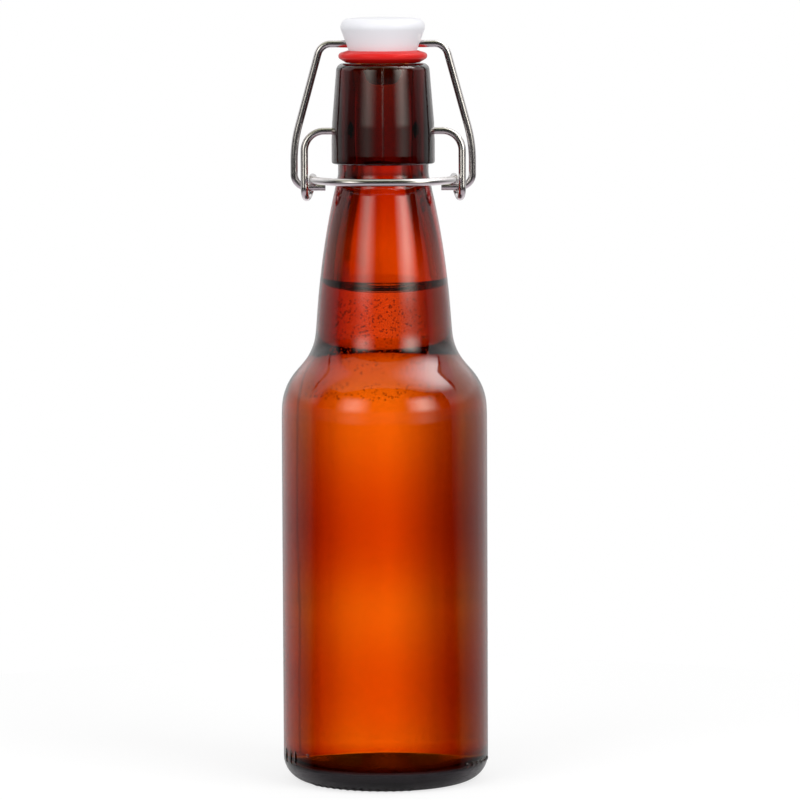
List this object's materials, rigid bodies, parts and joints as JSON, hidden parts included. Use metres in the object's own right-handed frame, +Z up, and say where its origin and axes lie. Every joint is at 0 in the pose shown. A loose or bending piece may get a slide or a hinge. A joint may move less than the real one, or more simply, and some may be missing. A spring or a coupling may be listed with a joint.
{
  "type": "swing top bottle",
  "caption": "Amber glass bottle with a long neck, closed by a stopper with a rubber gasket on a hinged wire bail and an over-centre locking lever.",
  "frame": {"origin": "centre of the base, on the plane that the bottle stands on", "axes": "+Z up along the bottle's axis, -Y towards the ring of the locking lever, +X to the right"},
  "size_m": [0.063, 0.063, 0.2342],
  "materials": {
    "amber_glass": "clear amber glass, moulded",
    "red_rubber": "smooth red rubber",
    "white_plastic": "smooth white moulded plastic",
    "steel_wire": "bright drawn steel wire"
  },
  "bodies": {
    "bottle": {"bottle": "amber_glass"},
    "lever": {"locking_lever": "steel_wire"},
    "bail": {"upper_bail": "steel_wire"},
    "stopper": {"stopper": "white_plastic", "gasket": "red_rubber"}
  },
  "joints": [
    {"name": "lever_swing", "type": "hinge", "parent": "bottle", "child": "lever", "pos_m": [0, 0, 0.1996], "axis": [-1, 0, 0], "range_deg": [0, 200]},
    {"name": "bail_swing", "type": "hinge", "parent": "lever", "child": "bail", "pos_m": [0, 0.0015, 0.1824], "axis": [-1, 0, 0], "range_deg": [-120, 0]},
    {"name": "stopper_tilt", "type": "hinge", "parent": "bail", "child": "stopper", "pos_m": [0, 0, 0.2261], "axis": [-1, 0, 0], "range_deg": [-80, 0]}
  ],
  "couplings": [
    {"joint": "bail_swing", "follows": "lever_swing", "ratio": -0.6},
    {"joint": "stopper_tilt", "follows": "lever_swing", "ratio": -0.4}
  ]
}
